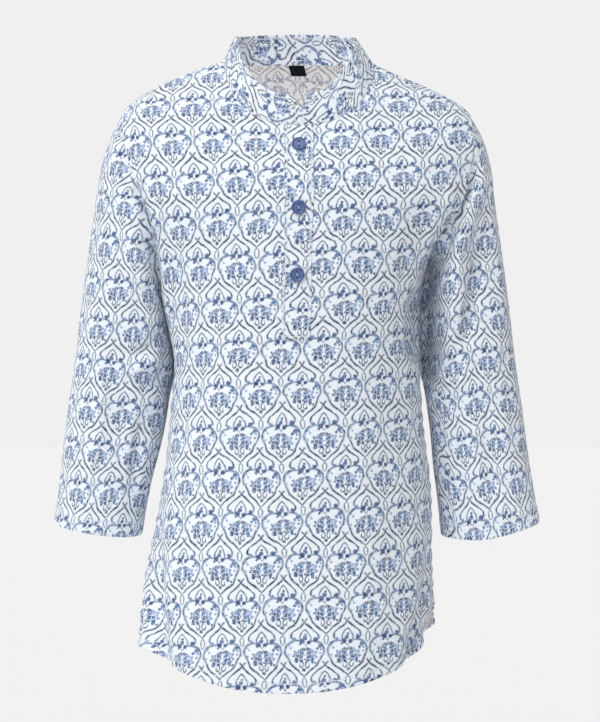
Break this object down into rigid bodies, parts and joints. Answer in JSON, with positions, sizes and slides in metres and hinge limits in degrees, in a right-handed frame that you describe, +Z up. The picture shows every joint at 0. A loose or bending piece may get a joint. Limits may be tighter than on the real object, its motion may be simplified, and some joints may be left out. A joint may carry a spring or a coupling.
{
  "type": "kurta tunic",
  "caption": "Toddler's long-sleeve cotton kurta with a standing band collar, short buttoned placket, side vents and curved hem, hollow and filled out with no wearer",
  "frame": {"origin": "midway between the two points where the shoulders meet the collar, the height at which the wearer's shoulders hold the garment", "axes": "front faces -Y, up is +Z, the sleeve called right is on +X"},
  "size_m": [0.3902, 0.1606, 0.5224],
  "materials": {
    "printed_cotton": "matte woven, printed blue trellis on white",
    "blue_resin": "satin",
    "woven_label": "matte woven"
  },
  "bodies": {
    "root": {"front_panel": "printed_cotton", "back_panel": "printed_cotton", "sleeve_left": "printed_cotton", "sleeve_right": "printed_cotton", "collar_band": "printed_cotton", "placket": "printed_cotton", "button_top": "blue_resin", "button_middle": "blue_resin", "button_bottom": "blue_resin", "neck_label": "woven_label"}
  },
  "joints": []
}
